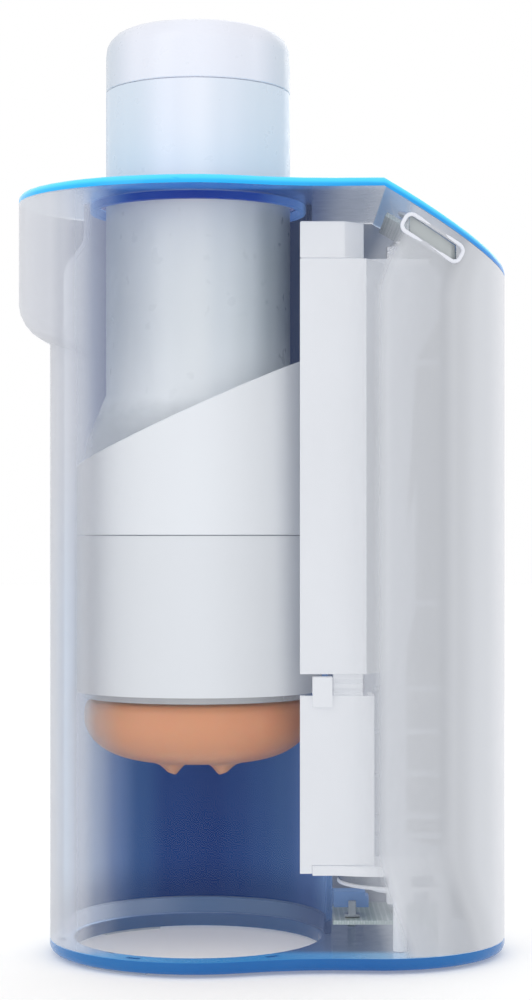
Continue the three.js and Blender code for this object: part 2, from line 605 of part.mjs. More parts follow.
const leadNut = addAll([
  ringBetween(SCREW.radius + SLIDE_GAP / 2, nutRadius, CARRIAGE.bottom - NUT.below, carriageTop,
    { u: screwU, sides: 24 }),
  ringBetween(SCREW.radius + SLIDE_GAP / 2, nutFlangeRadius, CARRIAGE.bottom - NUT.below,
    CARRIAGE.bottom - GAP, { u: screwU, sides: 24 }),
]);
const bushing = (y) =>
  ringBetween(ROD.radius + SLIDE_GAP / 2, bushRadius, CARRIAGE.bottom + GAP, carriageTop - GAP,
    { u: rodU, y, sides: 24 });

// ---------------------------------------------------------------- drive column and covers
const bevelTool = new THREE.Shape([
  new THREE.Vector2(columnRight - COLUMN.bevel, COLUMN.top + 1),
  new THREE.Vector2(columnRight + 1, COLUMN.top - COLUMN.bevel),
  new THREE.Vector2(columnRight + 1, COLUMN.top + 1),
]);
const bevelCut = solid(
  new THREE.ExtrudeGeometry(bevelTool, { depth: 2 * WIDE, bevelEnabled: false })
    .rotateX(Math.PI / 2).translate(0, WIDE, 0),
);
// Stiffening ribs across the column's front, closer together at its foot.
const lowerRibs = [44, 51, 66.3, 81.5, 97];
const upperRibs = [128, 215];
const ribAt = (z, from) =>
  box(from, columnRight - RIB.fromEdge, -COLUMN.halfDepth - RIB.proud, -COLUMN.halfDepth + COLUMN.wall / 2,
    z, z + RIB.width);
const driveChassis = cutAll(
  addAll([
    box(columnLeft, columnRight, -COLUMN.halfDepth, COLUMN.halfDepth, COLUMN.bottom, COLUMN.top),
    ...lowerRibs.map((z) => ribAt(z, coverRight + COVER.lowerExtra + RIB.fromEdge)),
    ...upperRibs.map((z) => ribAt(z, coverSideEnd + GAP)),
  ]),
  [
    box(columnLeft + COLUMN.wall, columnRight - COLUMN.wall, -COLUMN.halfDepth + COLUMN.wall,
      COLUMN.halfDepth - COLUMN.wall, LOW, HIGH),
    box(0, columnLeft + COLUMN.wall + 1, -COLUMN.mouth, COLUMN.mouth, LOW, HIGH),
    bevelCut,
  ],
);

const sideBack = COLUMN.halfDepth + GAP;
const coverFace = -coverFront + COVER.wall; // inside of the covers' front
const upperCoverBottom = COVER.split + COVER.gapHeight;
// A stretch round the liner, clear of it, from the level y back to the covers' left side.
function roundLiner(y) {
  const radius = linerOuter + HEAD_BLOCK.air;
  return arc(0, 0, radius, Math.asin(y / radius), -Math.acos(coverLeft / radius), 5).map((p) => [p.x, p.y]);
}
const upperCover = addAll([
  prism([
    [coverLeft, -coverBack], [coverLeft, -coverFront], [coverRight, -coverFront], [coverSideEnd, -sideBack],
    [coverSideEnd - COVER.wall, -sideBack], [coverRight - COVER.wall / 2, coverFace],
    [coverLeft + COVER.wall, coverFace], [coverLeft + COVER.wall, -coverBack],
  ], upperCoverBottom, COLUMN.top),
  prism([
    [coverLeft, -coverFront], [coverRight, -coverFront], [coverSideEnd, -sideBack], ...roundLiner(-sideBack),
  ], COLUMN.top - COVER.wall, COLUMN.top),
]);
const lowerSide = coverRight + COVER.lowerExtra;
const lowerBack = sideBack + RIB.proud;
const latchLeft = coverLeft + LATCH.inset;
const latchRight = latchLeft + LATCH.width;
const lowerCover = addAll([
  prism([
    [coverLeft, -coverBack], [coverLeft, -coverFront], [lowerSide, -coverFront], [lowerSide, -lowerBack],
    [lowerSide - COVER.wall, -lowerBack], [lowerSide - COVER.wall, coverFace],
    [coverLeft + COVER.wall, coverFace], [coverLeft + COVER.wall, -coverBack],
  ], COLUMN.bottom, COVER.split),
  prism([
    [coverLeft, -coverBack], [coverLeft, -coverFront], [latchLeft - GAP, -coverFront],
    [latchLeft - GAP, coverFace], [coverLeft + COVER.wall, coverFace], [coverLeft + COVER.wall, -coverBack],
  ], COLUMN.bottom - COVER.skirt, COLUMN.bottom + 1),
]);
const headBack = -COLUMN.halfDepth - HEAD_BLOCK.behind;
const driveHead = prism([
  [coverLeft, -coverFront], [coverLeft + HEAD_BLOCK.flat, -coverFront],
  [coverRight - HEAD_BLOCK.taper, -coverFront + HEAD_BLOCK.chamfer],
  [coverRight - HEAD_BLOCK.taper, headBack],
  ...roundLiner(headBack),
], COLUMN.top + GAP, COLUMN.top + GAP + HEAD_BLOCK.height);
const latchTop = upperCoverBottom - LATCH.rim;
const coverLatch = addAll([
  box(latchLeft, latchRight, -coverFront - LATCH.proud, -coverFront - GAP, COVER.split - LATCH.lap, latchTop),
  box(latchLeft, latchRight, -coverFront - LATCH.proud / 2, -coverFront + LATCH.depth,
    COVER.split + GAP, latchTop),
]);
const joinerFront = coverFace + GAP;
const coverJoiner = cutAll(
  box(latchRight + GAP, coverRight - 1, joinerFront, joinerFront + JOINER.depth,
    COVER.split - JOINER.lap, upperCoverBottom + JOINER.lap),
  [JOINER.firstGroove, JOINER.firstGroove + JOINER.pitch].map((above) =>
    box(0, WIDE, -WIDE, joinerFront + JOINER.grooveDepth, COVER.split + above,
      COVER.split + above + JOINER.grooveWidth),
  ),
);

// ---------------------------------------------------------------- bearing plates and shafts
const bearingRadius = SCREW.radius + BEARING.wall;
const bearingHole = rod(screwU, 0, LOW, HIGH, bearingRadius + GAP / 2, 28);
const bossBottom = plateBottom - PLATE.bossHeight;
const lowerPlate = cutAll(
  addAll([
    rod(lobeSpacing, 0, plateBottom, plateTop, CASE.rightRadius - PLATE.inset, 56),
    box(latchLeft, lobeSpacing, -coverFront, 0, plateBottom, plateTop),
    ...posts.map((p) => rod(p.u, p.y, bossBottom, plateBottom + 1, PLATE.bossRadius, 20)),
  ]),
  [
    rod(0, 0, LOW, HIGH, linerOuter + GAP, 60),
    box(screwU + PLATE.past, WIDE, -WIDE, WIDE, plateBottom, HIGH),
    bearingHole,
    rod(motorU, MOTOR.y, LOW, HIGH, MOTOR.boss + GAP, 20),
  ],
);
const upperPlate = addAll([
  box(columnLeft, columnRight - COLUMN.bevel, -COLUMN.halfDepth, COLUMN.halfDepth,
    columnPlateBottom, columnPlateBottom + BEARING.plate),
  rod(screwU, 0, columnPlateBottom, columnPlateBottom + BEARING.height, bearingRadius + BEARING.seatWall, 24),
]).subtract(bearingHole);
const bearing = (z0, z1) =>
  ringBetween(SCREW.radius + GAP / 2, bearingRadius, z0, z1, { u: screwU, sides: 28 });
const lowerBearing = bearing(plateBottom, plateTop);
const upperBearing = bearing(columnPlateBottom, columnPlateBottom + BEARING.height);
const guideRod = (y) => rod(rodU, y, COLUMN.bottom, COLUMN.top, ROD.radius, 20);

const screwNutBottom = columnPlateBottom + BEARING.height + GAP;
const leadScrew = addAll([
  rod(screwU, 0, SCREW.bottom, SCREW.top - SCREW.tipStep, SCREW.radius, 24),
  rod(screwU, 0, SCREW.bottom, SCREW.top, SCREW.radius - SCREW.tipStep, 24),
  rod(screwU, 0, screwNutBottom, screwNutBottom + SCREW.nutHeight, SCREW.nutRadius, 6),
]);
const hubBottom = pulleyBottom - PULLEY.hubHeight;
const pulleyRim = PULLEY.radius + PULLEY.flange;
const pulleyHoles = Array.from({ length: PULLEY.holes }, (_, k) => {
  const angle = (k * 2 * Math.PI) / PULLEY.holes;
  const [u, y] = [screwU + PULLEY.holeCircle * Math.cos(angle), PULLEY.holeCircle * Math.sin(angle)];
  return rod(u, y, LOW, HIGH, PULLEY.holeRadius, 8);
});
const screwPulley = cutAll(
  addAll([
    rod(screwU, 0, pulleyBottom, pulleyTop, PULLEY.radius, 28),
    rod(screwU, 0, pulleyBottom, pulleyBottom + PULLEY.rim, pulleyRim, 28),
    rod(screwU, 0, pulleyTop - PULLEY.rim, pulleyTop, pulleyRim, 28),
    rod(screwU, 0, hubBottom, pulleyBottom + PULLEY.rim, PULLEY.hubRadius, 24),
    rod(screwU, 0, hubBottom - PULLEY.nutHeight, pulleyBottom, PULLEY.nutRadius, 6),
  ]),
  [rod(screwU, 0, LOW, HIGH, SCREW.radius + GAP / 2, 24), ...pulleyHoles],
);
const driveBelt = prism(beltLoop(GAP + PULLEY.beltWall), pulleyBottom + PULLEY.rim + GAP,
  pulleyTop - PULLEY.rim - GAP, beltLoop(GAP));

const motorBottom = plateTop + GAP;
const motorTop = motorBottom + MOTOR.length;
const shaftTop = motorBottom + MOTOR.shaftInside;
const motorCan = addAll([
  rod(motorU, MOTOR.y, motorBottom, motorTop, MOTOR.radius, 36),
  rod(motorU, MOTOR.y, motorBottom - MOTOR.spigot, motorTop + MOTOR.endBoss, MOTOR.boss, 20),
]).subtract(rod(motorU, MOTOR.y, LOW, shaftTop + 1, MOTOR.shaft + GAP, 16));
const motorShaft = rod(motorU, MOTOR.y, pulleyBottom - 1, shaftTop, MOTOR.shaft, 16);
const motorPulley = addAll([
  rod(motorU, MOTOR.y, pulleyBottom, pulleyTop - 1, PULLEY.motorRadius, 24),
  rod(motorU, MOTOR.y, pulleyBottom, pulleyBottom + PULLEY.rim, PULLEY.motorRadius + PULLEY.flange, 24),
]).subtract(rod(motorU, MOTOR.y, LOW, HIGH, MOTOR.shaft + GAP / 2, 16));

// ---------------------------------------------------------------- boards, sensor and inlet
const boardFace = boardU + BOARD.thickness; // the side with the components
const controlBoard = box(boardU, boardFace, -BOARD.half, BOARD.half, BOARD.bottom, BOARD.top);
const controllerChip = box(boardFace + GAP, boardFace + GAP + CHIP.depth, -CHIP.half, CHIP.half,
  CHIP.bottom, CHIP.bottom + 2 * CHIP.half);
const capacitor = (y, z) =>
  rod(boardFace + GAP + CAPACITOR.radius, y, z, z + CAPACITOR.height, CAPACITOR.radius, 20);
const baseBoardLeft = linerOuter - GAP;
const baseBoardRight = baseBoardLeft + BASE_BOARD.length;
const baseBoard = addAll([
  box(baseBoardLeft, baseBoardRight, -BASE_BOARD.half, BASE_BOARD.half,
    boardLevel, boardLevel + BOARD.thickness),
  ...[-1, 1].map((side) =>
    rod(baseBoardRight - BASE_BOARD.legInset, side * (BASE_BOARD.half - BASE_BOARD.legInset),
      seamLow + GAP, boardLevel + 0.5 * BOARD.thickness, BASE_BOARD.legRadius, 12),
  ),
  rod(baseBoardLeft + 2 * BASE_BOARD.legInset, BASE_BOARD.half - BASE_BOARD.legInset,
    seamLow + GAP, boardLevel + 0.5 * BOARD.thickness, BASE_BOARD.legRadius, 12),
]).subtract(rod(0, 0, LOW, HIGH, linerOuter + GAP, 60));
const sensorU = linerOuter + SENSOR.u;
const sensorBack = lugFront - GAP;
const sensorFront = sensorBack - SENSOR.depth;
const endStop = addAll([
  box(sensorU - SENSOR.width / 2, sensorU + SENSOR.width / 2, sensorFront, sensorBack, boardTop, SENSOR.top),
  box(sensorU - SENSOR.width, sensorU + SENSOR.width, sensorFront, sensorBack + SENSOR.depth, boardTop,
    boardTop + SENSOR.pad),
]);
const inletCorner = Math.abs(inletU - lobeSpacing) + INLET.halfWidth; // farthest from the lobe's axis
const inletFace = Math.sqrt((CASE.rightRadius - CASE.wall) ** 2 - inletCorner ** 2) - INLET.wallGap;
const bushLength = CASE.rightRadius - inletFace + GAP;
const powerInlet = addAll([
  box(inletU - INLET.halfWidth, inletU + INLET.halfWidth, CASE.rightRadius - INLET.depth,
    inletFace, seamLow + GAP, INLET.z + INLET.radius + INLET.roof),
  rodAcross(INLET.radius, bushLength, CASE.rightRadius - bushLength / 2, 24),
]).subtract(rodAcross(INLET.socket, 2 * INLET.socketDepth, CASE.rightRadius, 20));

const post = (p) =>
  rod(p.u, p.y, seamLow + GAP, bossBottom - GAP, POST.radius, 20)
    .subtract(rod(p.u, p.y, LOW, screwTop + GAP, BASE_SCREW.shank + GAP / 2, 12));
const baseScrew = (p) =>
  addAll([
    rod(p.u, p.y, FOOT.height + GAP, screwTop, BASE_SCREW.shank, 12),
    rod(p.u, p.y, FOOT.height + GAP, screwHeadTop, BASE_SCREW.head, 12),
  ]).subtract(
    box(p.u - BASE_SCREW.head, p.u + BASE_SCREW.head, p.y - BASE_SCREW.slot / 2, p.y + BASE_SCREW.slot / 2,
      LOW, FOOT.height + GAP + BASE_SCREW.slot),
  );

// ---------------------------------------------------------------- sloping panel: buttons and their board
// In the panel's own frame x runs down the slope and z stands off the panel's face.
const slabThickness = TOP.thickness * Math.cos(PANEL.slope);
const keyBottom = -slabThickness - GAP;
const switchTop = keyBottom - BUTTON.flangeHeight - BUTTON.travel - GAP;
const boardDown = switchTop - SWITCH.height;
const buttons = [
  { name: "button_minus", along: BUTTON.rowAt, y: -BUTTON.spacing, radius: BUTTON.radius },
  { name: "button_mode", along: BUTTON.rowAt, y: 0, radius: BUTTON.radius },
  { name: "button_plus", along: BUTTON.rowAt, y: BUTTON.spacing, radius: BUTTON.radius },
  { name: "button_power", along: BUTTON.powerAt, y: 0, radius: BUTTON.powerRadius },
];
const buttonBlock = (b) =>
  addAll([
    rod(b.along, b.y, keyBottom, BUTTON.stand, b.radius, 24),
    rod(b.along, b.y, keyBottom - BUTTON.flangeHeight, keyBottom, b.radius + BUTTON.flange, 24),
  ]);
const buttonBoard = addAll([
  box(BUTTON_BOARD.start, BUTTON_BOARD.end, -BUTTON_BOARD.half, BUTTON_BOARD.half,
    boardDown - BOARD.thickness, boardDown),
  ...buttons.map((b) =>
    box(b.along - SWITCH.half, b.along + SWITCH.half, b.y - SWITCH.half, b.y + SWITCH.half,
      boardDown - BOARD.thickness / 2, switchTop),
  ),
]);

const toPanel = new THREE.Matrix4()
  .makeTranslation(panelStart, 0, seamHigh + TOP.thickness)
  .multiply(new THREE.Matrix4().makeRotationY(PANEL.slope));
const inPanel = (made) => solid(geometryOf(made).applyMatrix4(toPanel));
const topPlate = cutAll(topSlabs, [
  rod(0, 0, LOW, HIGH, topOpening, 40),
  ...buttons.map((b) => inPanel(rod(b.along, b.y, -20, 20, b.radius + GAP, 24))),
]);

// ---------------------------------------------------------------- assembly
const finish = (color, roughness, metalness = 0) =>
  new THREE.MeshStandardMaterial({ color, roughness, metalness });
const casingWhite = finish(0xe9ebf0, 0.35);
const plateBlue = finish(0x2a93d5, 0.25);
const linerBlue = finish(0x1e4a9c, 0.35);
const clearGrey = finish(0xc7d0d8, 0.15);
const capWhite = finish(0xe4e9f4, 0.3);
const driveWhite = finish(0xe6e8ec, 0.45);
const peach = finish(0xe39a72, 0.5);
const rubber = finish(0x2b3038, 0.8);
const steel = finish(0xb9bdc2, 0.3, 1);
const brass = finish(0xc9a14e, 0.35, 1);
const boardGreen = finish(0x35624c, 0.6);
const darkPlastic = finish(0x24272c, 0.5);

const assembly = new THREE.Group();
assembly.position.x = canisterX;
function place(name, made, material, parent = assembly) {
  const mesh = new THREE.Mesh(geometryOf(made), material);
  mesh.name = name;
  parent.add(mesh);
}

place("front_shell", frontShell, casingWhite);
place("rear_shell", rearShell, casingWhite);
place("window_lens", windowLens, clearGrey);
place("top_plate", topPlate, plateBlue);
place("base_plate", basePlate, plateBlue);
place("top_collar", topCollar, linerBlue);
place("base_collar", baseCollar, linerBlue);
place("chamber_liner", chamberLiner, linerBlue);

place("canister_tube", canisterTube, clearGrey);
place("soft_sleeve", softSleeve, peach);
place("neck_seal", neckSeal, rubber);
place("end_cap", endCap, capWhite);

place("gripper_band", gripperBand, driveWhite);
place("gripper_collar", gripperCollar, driveWhite);
place("carriage_body", carriageBody, driveWhite);
place("lead_nut", leadNut, brass);
for (const r of rodPlaces) {
  place(`rod_bushing_${r.side}`, bushing(r.y), brass);
  place(`guide_rod_${r.side}`, guideRod(r.y), steel);
}

place("drive_chassis", driveChassis, driveWhite);
place("upper_cover", upperCover, driveWhite);
place("lower_cover", lowerCover, driveWhite);
place("drive_head", driveHead, driveWhite);
place("cover_latch", coverLatch, driveWhite);
place("cover_joiner", coverJoiner, driveWhite);
place("lower_bearing_plate", lowerPlate, driveWhite);
place("upper_bearing_plate", upperPlate, driveWhite);
place("screw_bearing_lower", lowerBearing, steel);
place("screw_bearing_upper", upperBearing, steel);
place("lead_screw", leadScrew, steel);
place("screw_pulley", screwPulley, driveWhite);
place("drive_belt", driveBelt, rubber);
place("motor_can", motorCan, steel);
place("motor_shaft", motorShaft, steel);
place("motor_pulley", motorPulley, steel);

place("control_board", controlBoard, boardGreen);
place("controller_chip", controllerChip, darkPlastic);
place("capacitor_upper", capacitor(-10, 182), darkPlastic);
place("capacitor_lower", capacitor(8, 96), darkPlastic);
place("base_board", baseBoard, boardGreen);
place("end_stop_sensor", endStop, darkPlastic);
place("power_inlet", powerInlet, darkPlastic);

for (const p of posts) {
  place(p.name, post(p), driveWhite);
  place(p.name.replace("chassis_post", "base_screw"), baseScrew(p), steel);
}
for (const foot of feet) {
  place(`foot_${foot.name}`, footBlock(foot, 0, 0, FOOT.height + FOOT.sunk - GAP / 2), rubber);
}

const panel = new THREE.Group();
panel.applyMatrix4(toPanel);
assembly.add(panel);
place("button_board", buttonBoard, boardGreen, panel);
for (const b of buttons) place(b.name, buttonBlock(b), capWhite, panel);

const massager = new THREE.Group();
massager.add(assembly);

export default massager;
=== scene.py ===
"""Looks for the stroking massager: ghosted casing, blue chamber, frosted canister and white drive."""

import math

import bmesh
import bpy
import numpy as np
from mathutils import Matrix, Vector


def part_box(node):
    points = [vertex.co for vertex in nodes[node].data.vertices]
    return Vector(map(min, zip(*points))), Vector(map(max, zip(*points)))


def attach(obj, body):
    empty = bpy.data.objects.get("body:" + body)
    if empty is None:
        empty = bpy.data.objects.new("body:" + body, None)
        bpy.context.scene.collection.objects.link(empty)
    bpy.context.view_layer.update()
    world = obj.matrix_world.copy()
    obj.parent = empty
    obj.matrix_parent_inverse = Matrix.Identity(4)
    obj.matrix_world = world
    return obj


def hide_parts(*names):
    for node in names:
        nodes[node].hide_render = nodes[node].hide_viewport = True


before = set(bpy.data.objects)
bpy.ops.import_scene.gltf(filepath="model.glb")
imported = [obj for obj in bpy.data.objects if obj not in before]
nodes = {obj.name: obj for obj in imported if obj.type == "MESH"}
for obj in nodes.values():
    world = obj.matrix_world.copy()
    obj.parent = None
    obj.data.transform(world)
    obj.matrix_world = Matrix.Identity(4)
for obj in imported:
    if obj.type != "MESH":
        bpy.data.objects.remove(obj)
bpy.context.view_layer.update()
scene = bpy.context.scene
MM = 0.001

# ---------------------------------------------------------------- camera, light, floor
canister_low, canister_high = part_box("canister_tube")
AXIS_X = (canister_low.x + canister_high.x) / 2  # the canister's axis in the row frame
CAMERA_AT = (AXIS_X + 25.1 * MM, -812 * MM, 153 * MM)
FOCAL_MM = 79.09
SHIFT_UP = 0.036

camera_data = bpy.data.cameras.new("camera")
camera_data.lens = FOCAL_MM
camera_data.sensor_width = 36
camera_data.shift_y = SHIFT_UP
camera_data.clip_start = 0.01
camera = bpy.data.objects.new("camera", camera_data)
camera.location = CAMERA_AT
camera.rotation_euler = (math.pi / 2, 0, 0)
scene.collection.objects.link(camera)
scene.camera = camera

scene.view_settings.view_transform = "Standard"
scene.cycles.transparent_max_bounces = 32

world = bpy.data.worlds.new("studio")
world.use_nodes = True
world.node_tree.nodes["Background"].inputs["Color"].default_value = (1, 1, 1, 1)
world.node_tree.nodes["Background"].inputs["Strength"].default_value = 1.0
scene.world = world


def area_light(name, at, towards, size, power, colour=(1, 1, 1)):
    data = bpy.data.lights.new(name, "AREA")
    data.shape = "RECTANGLE"
    data.size, data.size_y = size
    data.energy = power
    data.color = colour
    light = bpy.data.objects.new(name, data)
    light.location = at
    light.rotation_euler = (Vector(towards) - Vector(at)).to_track_quat("-Z", "Y").to_euler()
    scene.collection.objects.link(light)


area_light("key", (-0.7, -0.75, 0.75), (0, 0, 0.15), (0.5, 0.9), 1.3)
area_light("edge", (0.9, -0.25, 0.45), (0, 0, 0.16), (0.25, 0.9), 0.4)
area_light("back", (0.3, 0.9, 0.7), (0, 0, 0.15), (0.8, 0.5), 0.8)


# ---------------------------------------------------------------- node graphs
class Graph:
    """One material's node tree, with a Principled shader and short calls for what feeds it."""

    def __init__(self, name, **sockets):
        self.material = bpy.data.materials.new(name)
        self.material.use_nodes = True
        self.tree = self.material.node_tree
        self.shader = self.tree.nodes["Principled BSDF"]
        for socket, value in sockets.items():
            self.shader.inputs[socket.replace("_", " ")].default_value = value
        self.place = self.tree.nodes.new("ShaderNodeTexCoord").outputs["Object"]
        self.parts = None

    def node(self, kind, **settings):
        made = self.tree.nodes.new(kind)
        for key, value in settings.items():
            setattr(made, key, value)
        return made

    def feed(self, socket, source):
        target = self.shader.inputs[socket] if isinstance(socket, str) else socket
        if isinstance(source, bpy.types.NodeSocket):
            self.tree.links.new(source, target)
        else:
            target.default_value = source

    def along(self, axis):
        if self.parts is None:
            self.parts = self.node("ShaderNodeSeparateXYZ")
            self.feed(self.parts.inputs[0], self.place)
        return self.parts.outputs[axis]

    def noise(self, scale, detail=3.0, stretch=None):
        made = self.node("ShaderNodeTexNoise")
        made.inputs["Scale"].default_value = scale
        made.inputs["Detail"].default_value = detail
        source = self.place
        if stretch:
            mapping = self.node("ShaderNodeMapping")
            mapping.inputs["Scale"].default_value = stretch
            self.feed(mapping.inputs["Vector"], source)
            source = mapping.outputs[0]
        self.feed(made.inputs["Vector"], source)
        return made.outputs["Fac"]

    def math(self, operation, a, b=0.0, clamp=False):
        made = self.node("ShaderNodeMath", operation=operation, use_clamp=clamp)
        self.feed(made.inputs[0], a)
        self.feed(made.inputs[1], b)
        return made.outputs[0]

    def ease(self, value, start, end, low=0.0, high=1.0):
        """value from start to end becomes low to high, smoothly and no further."""
        made = self.node("ShaderNodeMapRange", interpolation_type="SMOOTHSTEP", clamp=True)
        for socket, given in zip(made.inputs, (value, start, end, low, high)):
            self.feed(socket, given)
        return made.outputs[0]

    def ramp(self, value, stops):
        """Colours at chosen values; stops is [(value, colour)], rising."""
        first, last = stops[0][0], stops[-1][0]
        made = self.node("ShaderNodeValToRGB")
        made.color_ramp.interpolation = "EASE"
        while len(made.color_ramp.elements) < len(stops):
            made.color_ramp.elements.new(0.5)
        for element, (at, colour) in zip(made.color_ramp.elements, stops):
            element.position = (at - first) / (last - first)
            element.color = (*colour, 1)
        scaled = self.node("ShaderNodeMapRange", clamp=True)
        for socket, given in zip(scaled.inputs, (value, first, last, 0.0, 1.0)):
            self.feed(socket, given)
        self.feed(made.inputs[0], scaled.outputs[0])
        return made.outputs["Color"]

    def mix(self, factor, a, b, blend="MIX"):
        made = self.node("ShaderNodeMix", data_type="RGBA", blend_type=blend)
        self.feed(made.inputs["Factor"], factor)
        for socket, colour in ((made.inputs[6], a), (made.inputs[7], b)):
            self.feed(socket, colour if isinstance(colour, bpy.types.NodeSocket) else (*colour, 1))
        return made.outputs[2]

    def bump(self, height, strength, depth):
        made = self.node("ShaderNodeBump")
        made.inputs["Strength"].default_value = strength
        made.inputs["Distance"].default_value = depth
        self.feed(made.inputs["Height"], height)
        self.feed("Normal", made.outputs[0])

    def from_canister(self):
        """Distance from the canister's axis."""
        offset = self.math("SUBTRACT", self.along("X"), AXIS_X)
        away = self.along("Y")
        return self.math("SQRT", self.math(
            "ADD", self.math("MULTIPLY", offset, offset), self.math("MULTIPLY", away, away)))

    def facing_up(self):
        """The surface normal's upward part."""
        geometry = self.node("ShaderNodeNewGeometry")
        parts = self.node("ShaderNodeSeparateXYZ")
        self.feed(parts.inputs[0], geometry.outputs["Normal"])
        return parts.outputs["Z"]


def srgb(red, green, blue):
    """A colour given in 0 to 255 display values, as the shader wants it."""
    return tuple((v / 255 / 12.92) if v / 255 <= 0.04045 else ((v / 255 + 0.055) / 1.055) ** 2.4
                 for v in (red, green, blue))


def shade(colour, factor):
    return tuple(min(1.0, c * factor) for c in colour)


def moulded(graph, colour, rough, grain=0.12, mottling=0.035):
    """Injection-moulded plastic: faint flow mottling, uneven gloss and a fine spark-eroded grain."""
    flow = graph.noise(55, 4, (1, 1, 0.35))
    if not isinstance(colour, bpy.types.NodeSocket):
        colour = graph.mix(flow, shade(colour, 1 - mottling), shade(colour, 1 + mottling))
    graph.feed("Base Color", colour)
    graph.feed("Roughness", graph.ease(graph.noise(180, 3), 0.3, 0.7, rough - 0.05, rough + 0.06))
    graph.bump(graph.noise(2600, 2), grain, 0.00006)
    return graph.material


# Distances along X are given from the canister's axis, in millimetres.
def from_axis(mm):
    return AXIS_X + mm * MM


def ghost_casing():
    """The front casing: clear over the chamber, milky at the head, turning solid over the drive."""
    graph = Graph("ghost_casing", IOR=1.45, Coat_Weight=0.15, Coat_Roughness=0.2)
    across, up = graph.along("X"), graph.along("Z")
    milky = graph.ramp(across, [
        (from_axis(-66), (0.74,) * 3), (from_axis(-52), (0.62,) * 3), (from_axis(-47), (0.45,) * 3),
        (from_axis(-41), (0.3,) * 3), (from_axis(-34), (0.08,) * 3), (from_axis(-24), (0.01,) * 3),
    ])
    inside = graph.math("MAXIMUM", graph.ease(up, 0.0, 0.045, 1.0, 0.0), graph.ease(up, 0.236, 0.27))
    reach = graph.math("SUBTRACT", across, graph.math("MULTIPLY", inside, 11 * MM))
    solid = graph.ramp(reach, [
        (from_axis(54), (0.0,) * 3), (from_axis(62), (0.14,) * 3), (from_axis(68), (0.56,) * 3),
        (from_axis(86), (0.64,) * 3), (from_axis(92), (0.9,) * 3), (from_axis(100), (1.0,) * 3),
    ])
    graph.feed("Alpha", graph.mix(1.0, milky, solid, "LIGHTEN"))
    # Painted shade: the colour greys towards 94 mm from the canister's axis, where the casing's right side
    # turns from the light, and painted light makes it paler again at its far edge.
    colour = graph.ramp(across, [
        (from_axis(-66), srgb(222, 224, 230)), (from_axis(-50), srgb(219, 221, 227)),
        (from_axis(40), srgb(222, 225, 231)), (from_axis(70), srgb(217, 220, 226)),
        (from_axis(84), srgb(207, 210, 216)), (from_axis(94), srgb(196, 199, 205)),
        (from_axis(103), srgb(202, 205, 211)), (from_axis(113), srgb(216, 218, 224)),
    ])
    return moulded(graph, colour, 0.38, grain=0.05)


def solid_casing():
    """The rear casing: solid satin white, with painted shade greying it towards its right end."""
    graph = Graph("solid_casing", IOR=1.46, Coat_Weight=0.2, Coat_Roughness=0.2)
    colour = graph.ramp(graph.along("X"), [
        (from_axis(-66), srgb(226, 228, 234)), (from_axis(60), srgb(222, 224, 229)),
        (from_axis(113), srgb(214, 216, 222)),
    ])
    return moulded(graph, colour, 0.36, grain=0.06)


def painted_glow(graph, colour, glow, deep=0.55):
    """Painted light: the surface glows with its own colour though it is no lamp, so it keeps its colour deep
    inside where little light comes in; its lit base colour is dimmed by deep.
    """
    graph.feed("Emission Color", colour)
    graph.shader.inputs["Emission Strength"].default_value = glow
    return graph.mix(1.0, colour, (deep, deep, deep), "MULTIPLY")


